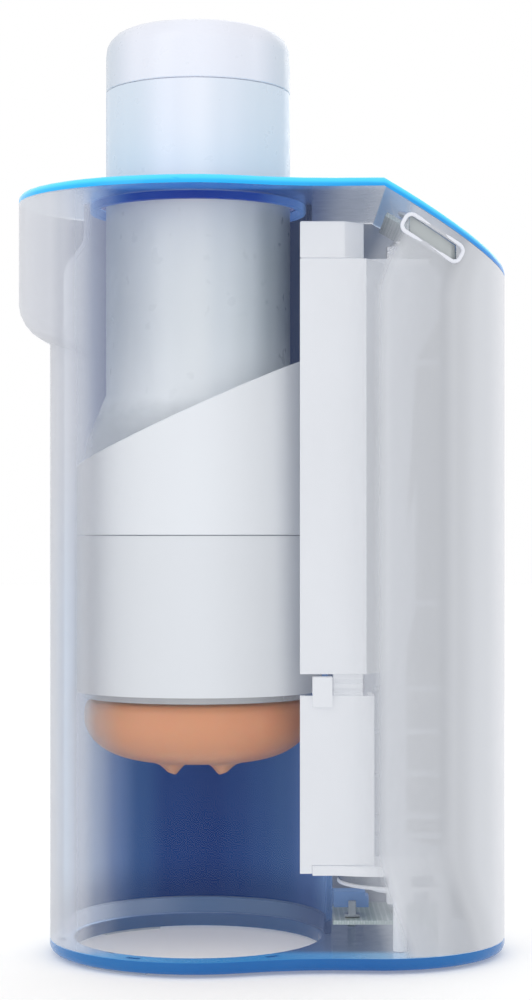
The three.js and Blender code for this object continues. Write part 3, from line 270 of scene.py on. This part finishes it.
def azure_plate(name, rim, painted_highlight, hole, hole_radius, base):
    """Glossy tinted plate: rim is four colours along X, the colour after it a painted highlight on its upper
    edge, hole its opening's wall; its inward face carries painted light and shade, and the plate a painted
    glow.
    """
    graph = Graph(name, IOR=1.5, Specular_IOR_Level=0.25, Coat_Weight=0.15, Coat_Roughness=0.08)
    up, across, away = graph.facing_up(), graph.along("X"), graph.along("Y")
    # Painted light and shade on the face turned into the chamber: lit is a painted lit colour near the front
    # edge, deep a painted shaded colour further in, both changing along X.
    if base:
        deep = graph.ramp(across, [
            (from_axis(-54), srgb(196, 212, 232)), (from_axis(-44), srgb(150, 176, 210)),
            (from_axis(-20), srgb(92, 116, 158)), (from_axis(30), srgb(70, 92, 132)),
            (from_axis(58), srgb(92, 104, 128)), (from_axis(78), srgb(158, 165, 178)),
            (from_axis(100), srgb(206, 212, 222)),
        ])
        lit = graph.ramp(across, [
            (from_axis(-54), srgb(150, 192, 226)), (from_axis(-36), srgb(96, 160, 212)),
            (from_axis(20), srgb(62, 138, 198)), (from_axis(48), srgb(84, 146, 200)),
            (from_axis(68), srgb(130, 172, 209)), (from_axis(90), srgb(190, 209, 226)),
        ])
        inner = graph.mix(graph.ease(away, -0.04, -0.03), lit, deep)
        inward = graph.ease(up, 0.9, 0.99)
    else:
        lit = graph.ramp(across, [
            (from_axis(-63), srgb(204, 219, 230)), (from_axis(-45), srgb(150, 184, 220)),
            (from_axis(-30), srgb(74, 134, 200)), (from_axis(0), srgb(54, 118, 192)),
            (from_axis(30), srgb(58, 118, 188)), (from_axis(45), srgb(90, 128, 180)),
            (from_axis(57), srgb(158, 172, 194)), (from_axis(70), srgb(190, 198, 210)),
            (from_axis(92), srgb(196, 206, 220)),
        ])
        deep = graph.ramp(across, [
            (from_axis(-63), srgb(204, 219, 230)), (from_axis(-54), srgb(198, 208, 220)),
            (from_axis(-45), srgb(176, 192, 216)), (from_axis(-37), srgb(116, 150, 196)),
            (from_axis(-28), srgb(48, 88, 152)), (from_axis(10), srgb(40, 72, 132)),
            (from_axis(31), srgb(30, 54, 104)), (from_axis(40), srgb(66, 86, 130)),
            (from_axis(57), srgb(150, 158, 174)), (from_axis(70), srgb(184, 190, 200)),
            (from_axis(92), srgb(196, 206, 220)),
        ])
        inner = graph.mix(graph.ease(away, -0.044, -0.036), lit, deep)
        inward = graph.ease(up, -0.8, -0.95)
    body = graph.ramp(across, [
        (from_axis(-66), rim[0]), (from_axis(10), rim[1]), (from_axis(66), rim[2]), (from_axis(113), rim[3]),
    ])
    # Painted highlight: where the edge faces upwards it takes the highlight colour.
    body = graph.mix(graph.ease(up, 0.05, 0.55, 0.0, 0.75), body, painted_highlight)
    in_hole = graph.ease(graph.from_canister(), hole_radius, hole_radius + 2 * MM, 1.0, 0.0)
    body = graph.mix(in_hole, body, hole)
    # Painted glow: the inward face glows with its painted colours, the rest with the body colour dimmed.
    painted_glow(graph, graph.mix(inward, graph.mix(1.0, body, (0.45, 0.45, 0.45), "MULTIPLY"), inner), 0.6)
    # Random flecks of the painted highlight colour; the inward face's painted colours are dimmed under the
    # glow.
    tint = graph.mix(graph.ease(graph.noise(24, 3), 0.3, 0.7, 0.0, 0.1), body, painted_highlight)
    dim = graph.mix(1.0, inner, (0.45, 0.45, 0.45), "MULTIPLY")
    return moulded(graph, graph.mix(inward, tint, dim), 0.2, grain=0.03)


def near_side_cut(graph, start, end):
    """0 on the side the section is cut away, from Y start, and 1 past Y end."""
    return graph.ease(graph.along("Y"), start, end)


def chamber_blue():
    """The chamber wall: near half cut away, far half deep blue and milky where it turns edge on; painted
    light, painted shade and a painted glow in its colour.
    """
    graph = Graph("chamber_blue", IOR=1.4, Specular_IOR_Level=0.15)
    across, away, up = graph.along("X"), graph.along("Y"), graph.along("Z")
    # Painted light: the wall's blue turns paler towards both sides, most at the left, where the wall turns
    # edge on.
    wall = graph.ramp(across, [
        (from_axis(-49.6), srgb(184, 208, 230)), (from_axis(-47.6), srgb(168, 198, 226)),
        (from_axis(-46.6), srgb(164, 178, 202)), (from_axis(-42), srgb(152, 168, 195)),
        (from_axis(-32.7), srgb(97, 121, 165)), (from_axis(-23.5), srgb(51, 84, 137)),
        (from_axis(-13), srgb(27, 60, 120)), (from_axis(5), srgb(22, 54, 114)),
        (from_axis(14), srgb(30, 62, 120)), (from_axis(23), srgb(43, 74, 128)),
        (from_axis(32), srgb(55, 85, 135)), (from_axis(41), srgb(74, 100, 150)),
        (from_axis(49.6), srgb(104, 134, 178)),
    ])
    # Painted shade higher up the wall: greyer and darker.
    upper_painted_shade = graph.ramp(across, [
        (from_axis(-49.6), srgb(196, 203, 216)), (from_axis(-43), srgb(160, 170, 192)),
        (from_axis(-33), srgb(124, 133, 162)), (from_axis(-22), srgb(84, 98, 134)),
        (from_axis(20), srgb(50, 62, 92)), (from_axis(49.6), srgb(54, 66, 96)),
    ])
    colour = graph.mix(graph.ease(up, 0.11, 0.2), wall, upper_painted_shade)
    # Painted shade: dark navy at the foot of the wall.
    colour = graph.mix(graph.ease(up, 0.012, 0.03, 0.45, 0.0), colour, srgb(14, 32, 76))
    edge_on = graph.ease(across, from_axis(-49.6), from_axis(-45), 0.3, 0.0)
    shown = graph.math("MAXIMUM", near_side_cut(graph, -0.014, 0.0),
                       graph.math("MULTIPLY", edge_on, graph.ease(away, -0.05, -0.01)))
    lug = graph.math("GREATER_THAN", across, from_axis(49.9))
    graph.feed("Alpha", graph.math("MAXIMUM", shown, lug))
    return moulded(graph, painted_glow(graph, colour, 0.62, 0.5), 0.5, grain=0.0)


def collar_blue():
    graph = Graph("collar_blue", IOR=1.4, Specular_IOR_Level=0.2)
    # Painted light and shade: paler on the left, darker to the right, with a painted glow.
    colour = graph.ramp(graph.along("X"), [
        (from_axis(-46), srgb(170, 182, 204)), (from_axis(-24), srgb(112, 130, 160)),
        (from_axis(0), srgb(82, 106, 142)), (from_axis(26), srgb(84, 105, 138)),
        (from_axis(46), srgb(72, 88, 122)),
    ])
    graph.feed("Alpha", near_side_cut(graph, -0.006, 0.004))
    return moulded(graph, painted_glow(graph, colour, 0.6, 0.5), 0.45, grain=0.0)


def royal_collar():
    """The ring under the top plate: deep blue in the middle where it faces the front, with painted light
    making it paler towards both sides where it turns away, and a painted glow.
    """
    graph = Graph("royal_collar", IOR=1.4, Specular_IOR_Level=0.2)
    colour = graph.ramp(graph.along("X"), [
        (from_axis(-40), srgb(112, 150, 204)), (from_axis(-33), srgb(64, 106, 176)),
        (from_axis(-20), srgb(16, 58, 148)), (from_axis(0), srgb(10, 48, 140)),
        (from_axis(20), srgb(16, 58, 148)), (from_axis(33), srgb(72, 110, 178)),
        (from_axis(40), srgb(96, 134, 194)),
    ])
    return moulded(graph, painted_glow(graph, colour, 0.6, 0.45), 0.4, grain=0.0)


def frosted_canister():
    """Frosted tube: cool white above, greyer lower down, and clear where it widens past its own bore; painted
    light, painted shade and a painted glow in its colour.
    """
    graph = Graph("frosted_canister", IOR=1.49, Coat_Weight=0.2, Coat_Roughness=0.18)
    across, up = graph.along("X"), graph.along("Z")
    # Painted light and shade above the top plate: darker at both sides, with a painted highlight band near
    # the middle.
    outside = graph.ramp(across, [
        (from_axis(-34), srgb(166, 180, 199)), (from_axis(-32.4), srgb(194, 205, 218)),
        (from_axis(-24), srgb(203, 213, 225)),
        (from_axis(-8), srgb(220, 225, 238)), (from_axis(1), srgb(226, 230, 241)),
        (from_axis(10), srgb(214, 221, 233)), (from_axis(24), srgb(200, 210, 222)),
        (from_axis(34), srgb(186, 199, 214)),
    ])
    # Painted shade for the tube below the top plate: greyer, darkest towards the right.
    inside = graph.ramp(across, [
        (from_axis(-34), srgb(178, 188, 200)), (from_axis(-24), srgb(192, 199, 208)),
        (from_axis(1), srgb(204, 210, 216)), (from_axis(10), srgb(194, 202, 210)),
        (from_axis(19), srgb(182, 191, 199)), (from_axis(27), srgb(138, 150, 161)),
        (from_axis(34), srgb(104, 118, 134)),
    ])
    inside = graph.mix(graph.ease(up, 0.195, 0.235, 0.45, 0.0), inside, srgb(222, 227, 233))
    colour = graph.mix(graph.ease(up, 0.268, 0.284), inside, outside)
    streaks = graph.noise(30, 1, (1, 1, 0.05))
    colour = graph.mix(graph.ease(streaks, 0.35, 0.75, 0.0, 0.12), colour, srgb(236, 239, 243))
    graph.feed("Alpha", graph.ease(graph.from_canister(), 0.0345, 0.0385, 1.0, 0.42))
    return moulded(graph, painted_glow(graph, colour, 0.18, 0.86), 0.32, grain=0.0)


def across_cylinder(name, edge, middle, rough, half, **sockets):
    """Satin plastic with painted shade that greys it towards both sides of an upright round piece."""
    graph = Graph(name, IOR=1.46, **sockets)
    colour = graph.ramp(graph.along("X"), [
        (from_axis(-half), edge), (from_axis(-0.6 * half), shade(middle, 0.94)), (from_axis(0), middle),
        (from_axis(0.6 * half), shade(middle, 0.92)), (from_axis(half), edge),
    ])
    return moulded(graph, colour, rough, grain=0.04)


def plastic(name, colour, rough, **sockets):
    return moulded(Graph(name, IOR=1.46, **sockets), colour, rough)


def painted_glow_plastic(name, colour, rough, glow, **sockets):
    """Moulded plastic deep in the casing, kept bright by a painted glow where little light reaches it."""
    graph = Graph(name, IOR=1.46, **sockets)
    flow = graph.mix(graph.noise(55, 4, (1, 1, 0.35)), shade(colour, 0.97), shade(colour, 1.03))
    return moulded(graph, painted_glow(graph, flow, glow, 1 - glow), rough)


def soft_skin():
    """Matt-satin silicone with pores and a soft depth to it, paler towards the bottom; painted light and
    shade make it paler on the left and darker to the right.
    """
    graph = Graph("soft_skin", IOR=1.42, Subsurface_Weight=0.55, Subsurface_Scale=0.006, Coat_Weight=0.25,
                  Coat_Roughness=0.25)
    graph.shader.inputs["Subsurface Radius"].default_value = (1.0, 0.42, 0.24)
    patches = graph.noise(38, 4)
    # Painted light and shade: paler on the left, darker to the right.
    side = graph.ramp(graph.along("X"), [
        (from_axis(-43), srgb(222, 180, 156)), (from_axis(-30), srgb(208, 150, 116)),
        (from_axis(8), srgb(206, 146, 110)), (from_axis(30), srgb(198, 136, 102)),
        (from_axis(43), srgb(172, 104, 80)),
    ])
    colour = graph.mix(graph.ease(patches, 0.3, 0.72, 0.0, 0.16), side, srgb(190, 120, 84))
    low = graph.ease(graph.along("Z"), 0.062, 0.085, 0.35, 0.0)
    colour = graph.mix(low, colour, srgb(226, 176, 150))
    graph.feed("Base Color", colour)
    graph.feed("Roughness", graph.ease(graph.noise(260, 3), 0.3, 0.7, 0.38, 0.5))
    graph.bump(graph.noise(1400, 4), 0.16, 0.00012)
    return graph.material


def rubber(name, colour):
    graph = Graph(name, IOR=1.5)
    graph.feed("Base Color", graph.mix(graph.noise(300, 3), shade(colour, 0.85), shade(colour, 1.15)))
    graph.feed("Roughness", graph.ease(graph.noise(500, 2), 0.3, 0.7, 0.62, 0.82))
    graph.bump(graph.noise(1800, 3), 0.25, 0.0001)
    return graph.material


def metal(name, colour, rough, stretch=(1, 1, 18)):
    """Turned or drawn metal: fine marks across its length."""
    graph = Graph(name, Metallic=1.0)
    marks = graph.noise(420, 3, stretch)
    graph.feed("Base Color", graph.mix(marks, shade(colour, 0.88), shade(colour, 1.08)))
    graph.feed("Roughness", graph.ease(marks, 0.3, 0.7, rough - 0.06, rough + 0.1))
    graph.bump(marks, 0.12, 0.00004)
    return graph.material


def circuit_board():
    """Solder mask over a faint run of tracks."""
    graph = Graph("circuit_board", IOR=1.5, Coat_Weight=0.5, Coat_Roughness=0.1)
    tracks = graph.node("ShaderNodeTexBrick")
    tracks.inputs["Scale"].default_value = 260
    tracks.inputs["Mortar Size"].default_value = 0.04
    tracks.inputs["Color1"].default_value = (*srgb(206, 216, 214), 1)
    tracks.inputs["Color2"].default_value = (*srgb(198, 210, 207), 1)
    tracks.inputs["Mortar"].default_value = (*srgb(178, 194, 190), 1)
    mapping = graph.node("ShaderNodeMapping")
    mapping.inputs["Rotation"].default_value = (math.pi / 2, 0, math.pi / 2)
    graph.feed(mapping.inputs["Vector"], graph.place)
    graph.feed(tracks.inputs["Vector"], mapping.outputs[0])
    return moulded(graph, tracks.outputs["Color"], 0.4)


WHITE = srgb(221, 224, 230)
TOP_HOLE = 38.5 * MM  # just past the top plate's opening, from the canister's axis
BASE_HOLE = 47.5 * MM  # the same for the base plate
looks = {
    "ghost": ghost_casing(),
    "casing": solid_casing(),
    # Plates: rim colours, then a painted highlight colour, then the opening's wall colour.
    "top": azure_plate(
        "azure_top", (srgb(30, 160, 220), srgb(26, 156, 218), srgb(22, 138, 208), srgb(18, 112, 190)),
        srgb(76, 208, 245), srgb(14, 56, 146), TOP_HOLE, False),
    "base": azure_plate(
        "azure_base", (srgb(34, 102, 160), srgb(24, 90, 154), srgb(22, 84, 148), srgb(30, 96, 156)),
        srgb(58, 132, 188), srgb(66, 90, 128), BASE_HOLE, True),
    "chamber": chamber_blue(),
    "collar": collar_blue(),
    "royal": royal_collar(),
    "canister": frosted_canister(),
    # Cap and grippers: the first colour is the painted shade at their sides.
    "cap": across_cylinder("cap_white", srgb(190, 199, 211), srgb(230, 233, 244), 0.32, 34, Coat_Weight=0.25,
                           Coat_Roughness=0.15),
    "key": plastic("key_white", srgb(226, 229, 238), 0.34, Coat_Weight=0.3),
    "gripper": across_cylinder("gripper_white", srgb(196, 200, 207), srgb(215, 219, 225), 0.4, 44,
                               Coat_Weight=0.15, Coat_Roughness=0.25),
    "collar_white": across_cylinder("upper_gripper_white", srgb(204, 208, 215), srgb(222, 226, 232), 0.38, 44,
                                    Coat_Weight=0.15, Coat_Roughness=0.25),
    "drive": painted_glow_plastic("drive_white", WHITE, 0.42, 0.4, Coat_Weight=0.15, Coat_Roughness=0.3),
    "chassis": painted_glow_plastic("chassis_white", srgb(212, 216, 224), 0.45, 0.18),
    "skin": soft_skin(),
    "rubber": rubber("black_rubber", srgb(46, 50, 56)),
    "belt": rubber("belt_rubber", srgb(150, 154, 162)),
    "silicone": rubber("pale_silicone", srgb(202, 209, 217)),
    "steel": metal("bright_steel", (0.74, 0.75, 0.77), 0.28),
    "brass": metal("bearing_bronze", (0.72, 0.52, 0.24), 0.34),
    "board": circuit_board(),
    "dark": plastic("component_grey", srgb(188, 192, 200), 0.45),
    "lens": plastic("smoked_lens", srgb(172, 178, 180), 0.16, Coat_Weight=0.7, Coat_Roughness=0.05),
    "sensor": plastic("sensor_grey", srgb(150, 158, 168), 0.4),
}


# ---------------------------------------------------------------- CAD nodes: smooth, soften edges, finish
def weld_and_shade(obj, sharp_angle):
    """Joins the imported faces again and smooths across all but the sharp edges."""
    mesh = obj.data
    if "custom_normal" in mesh.attributes:
        mesh.attributes.remove(mesh.attributes["custom_normal"])
    mesh.polygons.foreach_set("use_smooth", [True] * len(mesh.polygons))
    coordinates = np.array([v.co for v in mesh.vertices]).round(7)
    _, shared = np.unique(coordinates, axis=0, return_inverse=True)
    shared = shared.reshape(-1)
    normals = {}
    for polygon in mesh.polygons:
        for a, b in polygon.edge_keys:
            key = tuple(sorted((int(shared[a]), int(shared[b]))))
            normals.setdefault(key, []).append(polygon.normal.copy())
    limit = math.cos(sharp_angle)
    attribute = mesh.attributes.get("sharp_edge") or mesh.attributes.new("sharp_edge", "BOOLEAN", "EDGE")
    marks = []
    for edge in mesh.edges:
        found = normals[tuple(sorted((int(shared[edge.vertices[0]]), int(shared[edge.vertices[1]]))))]
        marks.append(len(found) != 2 or found[0].dot(found[1]) < limit)
    attribute.data.foreach_set("value", marks)
    weld = obj.modifiers.new("weld", "WELD")
    weld.merge_threshold = 0.000002


def soften(obj, width):
    """A small round on every crisp edge, so that it catches the light."""
    bevel = obj.modifiers.new("edges", "BEVEL")
    bevel.width = width * MM
    bevel.segments = 2
    bevel.limit_method = "ANGLE"
    bevel.angle_limit = math.radians(38)
    bevel.harden_normals = False
    bevel.use_clamp_overlap = True


def finish_node(name, look, edge=0.0):
    obj = nodes[name]
    obj.data.materials.clear()
    obj.data.materials.append(looks[look])
    weld_and_shade(obj, math.radians(34))
    if edge:
        soften(obj, edge)


finishes = {
    "ghost": [("front_shell", 0.25)],
    "casing": [("rear_shell", 0.25)],
    "top": [("top_plate", 0.25)],
    "base": [("base_plate", 0.25)],
    "chamber": [("chamber_liner", 0)],
    "collar": [("base_collar", 0.4)],
    "royal": [("top_collar", 0.2)],
    "canister": [("canister_tube", 0)],
    "cap": [("end_cap", 0.4)],
    "key": [("button_minus", 0.4), ("button_mode", 0.4), ("button_plus", 0.4),
            ("button_power", 0.4)],
    "gripper": [("gripper_band", 0.4)],
    "collar_white": [("gripper_collar", 0.4)],
    "drive": [("carriage_body", 0.5), ("upper_cover", 0.45), ("lower_cover", 0.45),
              ("drive_head", 0.5), ("cover_latch", 0.4), ("cover_joiner", 0.3), ("lower_bearing_plate", 0.4),
              ("upper_bearing_plate", 0.4), ("screw_pulley", 0.3), ("chassis_post_front_left", 0.3),
              ("chassis_post_rear_left", 0.3), ("chassis_post_front_right", 0.3),
              ("chassis_post_rear_right", 0.3)],
    "chassis": [("drive_chassis", 0.4)],
    "rubber": [("neck_seal", 0.3)],
    "silicone": [("foot_front_left", 0.2), ("foot_rear_left", 0.2), ("foot_front_right", 0.2),
                 ("foot_rear_right", 0.2)],
    "belt": [("drive_belt", 0.2)],
    "steel": [("guide_rod_front", 0.2), ("guide_rod_rear", 0.2), ("screw_bearing_lower", 0.2),
              ("screw_bearing_upper", 0.2), ("lead_screw", 0.25), ("motor_can", 0.4), ("motor_shaft", 0.15),
              ("motor_pulley", 0.2), ("base_screw_front_left", 0.15), ("base_screw_rear_left", 0.15),
              ("base_screw_front_right", 0.15), ("base_screw_rear_right", 0.15)],
    "brass": [("lead_nut", 0.2), ("rod_bushing_front", 0.2), ("rod_bushing_rear", 0.2)],
    "board": [("control_board", 0), ("base_board", 0), ("button_board", 0)],
    "dark": [("controller_chip", 0.2), ("capacitor_upper", 0.5), ("capacitor_lower", 0.5),
             ("power_inlet", 0.3)],
    "sensor": [("end_stop_sensor", 0.3)],
    "lens": [("window_lens", 0)],
}
for look, members in finishes.items():
    for name, edge in members:
        finish_node(name, look, edge)


# ---------------------------------------------------------------- modelled pieces
def add_piece(name, mesh, look, body, smooth=True):
    piece = bpy.data.objects.new(name, mesh)
    scene.collection.objects.link(piece)
    mesh.materials.append(looks[look])
    if smooth:
        mesh.polygons.foreach_set("use_smooth", [True] * len(mesh.polygons))
    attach(piece, body)
    return piece


def mesh_from(name, build):
    made = bmesh.new()
    build(made)
    bmesh.ops.remove_doubles(made, verts=made.verts, dist=1e-7)
    bmesh.ops.recalc_face_normals(made, faces=made.faces)
    mesh = bpy.data.meshes.new(name)
    made.to_mesh(mesh)
    made.free()
    return mesh


def grid_faces(made, rings):
    """Skins a closed run of rings, each a list of points of the same length."""
    verts = [[made.verts.new(p) for p in ring] for ring in rings]
    count = len(rings[0])
    for one, other in zip(verts, verts[1:] + verts[:1]):
        for i in range(count):
            j = (i + 1) % count
            made.faces.new((one[i], one[j], other[j], other[i]))


def soft_sleeve_mesh(made):
    """The sleeve turned from its section, its mouth swelling into four soft lobes."""
    low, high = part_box("soft_sleeve")
    lobe_depth = 4.6 * MM
    mouth = low.z + lobe_depth  # where the cuff's flat end lies
    bore = 8.6 * MM
    cuff = (high.x - low.x) / 2 - 0.05 * MM
    cuff_top = canister_low.z - 0.6 * MM
    section = []
    roll_steps = 24
    for k in range(roll_steps + 1):  # mouth to rim: a flat end that rolls up into the cuff's side
        share = k / roll_steps
        angle = share * math.pi / 2
        section.append((bore + (cuff - bore) * math.sin(angle) ** 0.86,
                        mouth + (cuff_top - 6 * MM - mouth) * (1 - math.cos(angle)) ** 1.15))
    section += [(cuff - 0.25 * MM, cuff_top - 3.2 * MM), (cuff - 1.1 * MM, cuff_top - 1.2 * MM),
                (cuff - 2.8 * MM, cuff_top), (20 * MM, cuff_top), (bore + 0.6 * MM, cuff_top),
                (bore, cuff_top - 0.6 * MM), (bore - 0.1 * MM, (cuff_top + mouth) / 2),
                (bore, mouth + 1.2 * MM)]
    sides = 128
    rings = []
    for radius, height in section:
        ring = []
        for i in range(sides):
            angle = 2 * math.pi * i / sides
            lobe = math.cos(2 * (angle - math.pi / 4)) ** 2
            reach = math.exp(-(((radius - 12.6 * MM) / (3.6 * MM)) ** 2)) if height < mouth + 4 * MM else 0
            dip = lobe_depth * 0.98 * reach * lobe ** 3
            ring.append((AXIS_X + radius * math.cos(angle), radius * math.sin(angle), height - dip))
        rings.append(ring)
    grid_faces(made, rings)


sleeve = add_piece("sleeve_skin", mesh_from("sleeve_skin", soft_sleeve_mesh), "skin", "canister")
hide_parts("soft_sleeve")

# ---------------------------------------------------------------- window bezel
BEZEL_SLOPE = math.radians(30)  # the window runs along the falling panel
BEZEL_RADIUS = 0.75 * MM
BEZEL_SIDES = 10
CORNER_RADIUS = 2.4 * MM
CORNER_STEPS = 8


def window_outline():
    """A rounded rectangle round the window, in the casing's front view."""
    along = Vector((math.cos(BEZEL_SLOPE), 0, -math.sin(BEZEL_SLOPE)))
    above = Vector((math.sin(BEZEL_SLOPE), 0, math.cos(BEZEL_SLOPE)))
    lens = nodes["window_lens"]
    points = [lens.matrix_world @ v.co for v in lens.data.vertices]
    lengths = [p.dot(along) for p in points]
    heights = [p.dot(above) for p in points]
    middle = along * (min(lengths) + max(lengths)) / 2 + above * (min(heights) + max(heights)) / 2
    half_length = (max(lengths) - min(lengths)) / 2 + BEZEL_RADIUS
    half_height = (max(heights) - min(heights)) / 2 + BEZEL_RADIUS
    corner = min(CORNER_RADIUS, half_height)
    outline = []
    for quarter, (side, level) in enumerate(((1, 1), (-1, 1), (-1, -1), (1, -1))):
        for k in range(CORNER_STEPS + 1):
            angle = (quarter + k / CORNER_STEPS) * math.pi / 2
            reach = side * (half_length - corner) + corner * math.cos(angle)
            rise = level * (half_height - corner) + corner * math.sin(angle)
            outline.append(middle + along * reach + above * rise)
    return outline


def bezel_mesh(made):
    """A thin round bead that follows the casing's front round the window."""
    shell = nodes["front_shell"]
    inverse = shell.matrix_world.inverted()
    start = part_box("front_shell")[0].y - 10 * MM
    path = []
    for point in window_outline():
        hit, at, _, _ = shell.ray_cast(
            inverse @ Vector((point.x, start, point.z)), inverse.to_3x3() @ Vector((0, 1, 0)))
        if hit:
            path.append(shell.matrix_world @ at)
    rings = []
    for before, here, after in zip(path[-1:] + path[:-1], path, path[1:] + path[:1]):
        forward = (after - before).normalized()
        outward = Vector((0, -1, 0))
        sideways = forward.cross(outward).normalized()
        outward = sideways.cross(forward).normalized()
        ring = []
        for k in range(BEZEL_SIDES):
            angle = 2 * math.pi * k / BEZEL_SIDES
            ring.append(here + (sideways * math.cos(angle) + outward * math.sin(angle)) * BEZEL_RADIUS)
        rings.append(ring)
    grid_faces(made, rings)


add_piece("window_bezel", mesh_from("window_bezel", bezel_mesh), "key", "housing")

# ---------------------------------------------------------------- floor
floor_mesh = mesh_from("floor", lambda made: bmesh.ops.create_grid(made, x_segments=1, y_segments=1, size=6))
floor = bpy.data.objects.new("floor", floor_mesh)
scene.collection.objects.link(floor)
paper = Graph("paper", Roughness=0.9)
paper.feed("Base Color", paper.mix(paper.noise(3, 2), (0.78, 0.78, 0.78), (0.8, 0.8, 0.8)))
paper.shader.inputs["Emission Color"].default_value = (1, 1, 1, 1)
paper.shader.inputs["Emission Strength"].default_value = 0.22
floor_mesh.materials.append(paper.material)
